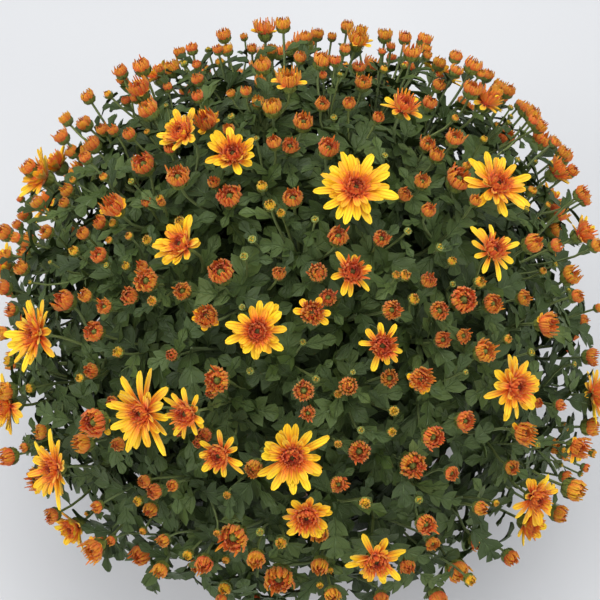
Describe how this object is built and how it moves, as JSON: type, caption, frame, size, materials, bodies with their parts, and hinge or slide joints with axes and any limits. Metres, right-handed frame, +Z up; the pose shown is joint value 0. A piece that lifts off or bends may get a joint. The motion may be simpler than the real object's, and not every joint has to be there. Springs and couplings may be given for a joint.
{
  "type": "pot chrysanthemum",
  "caption": "Cushion-shaped flowering plant with daisy blooms and buds above lobed leaves, standing in a plain round nursery pot.",
  "frame": {"origin": "centre of the pot's flat underside", "axes": "+Z up; -Y is the side that the picture looks from"},
  "size_m": [0.5084, 0.5079, 0.4777],
  "materials": {
    "pot_plastic": "satin terracotta-brown moulded plastic",
    "potting_mix": "loose dark potting mix",
    "leaf_green": "matte dark green leaves and stalks",
    "petal_yellow": "soft yellow petals, golden towards the middle",
    "petal_orange": "soft orange petals"
  },
  "bodies": {
    "root": {"pot": "pot_plastic", "soil": "potting_mix", "leafy_stem_01": "leaf_green", "leafy_stem_02": "leaf_green", "leafy_stem_03": "leaf_green", "leafy_stem_04": "leaf_green", "leafy_stem_05": "leaf_green", "leafy_stem_06": "leaf_green", "leafy_stem_07": "leaf_green", "leafy_stem_08": "leaf_green", "leafy_stem_09": "leaf_green", "leafy_stem_10": "leaf_green", "leafy_stem_11": "leaf_green", "leafy_stem_12": "leaf_green", "leafy_stem_13": "leaf_green", "leafy_stem_14": "leaf_green", "bloom_01": "petal_yellow", "bloom_02": "petal_yellow", "bloom_03": "petal_yellow", "bloom_04": "petal_yellow", "bloom_05": "petal_yellow", "bloom_06": "petal_yellow", "bloom_07": "petal_yellow", "bloom_08": "petal_yellow", "bloom_09": "petal_yellow", "bloom_10": "petal_yellow", "bloom_11": "petal_yellow", "bloom_12": "petal_yellow", "bloom_13": "petal_yellow", "bloom_14": "petal_yellow", "bloom_15": "petal_yellow", "bloom_16": "petal_yellow", "bloom_17": "petal_yellow", "bloom_18": "petal_yellow", "bloom_19": "petal_yellow", "bloom_20": "petal_yellow", "bloom_21": "petal_yellow", "bloom_22": "petal_yellow", "bloom_23": "petal_yellow", "bloom_24": "petal_yellow", "bloom_25": "petal_yellow", "bloom_26": "petal_yellow", "bloom_27": "petal_yellow", "bloom_28": "petal_yellow", "bloom_29": "petal_yellow", "bloom_30": "petal_yellow", "bloom_31": "petal_yellow", "bloom_32": "petal_yellow", "bloom_33": "petal_yellow", "bloom_34": "petal_yellow", "bloom_35": "petal_yellow", "half_bloom_01": "petal_orange", "half_bloom_02": "petal_orange", "half_bloom_03": "petal_orange", "half_bloom_04": "petal_orange", "half_bloom_05": "petal_orange", "half_bloom_06": "petal_orange", "half_bloom_07": "petal_orange"}
  },
  "joints": []
}
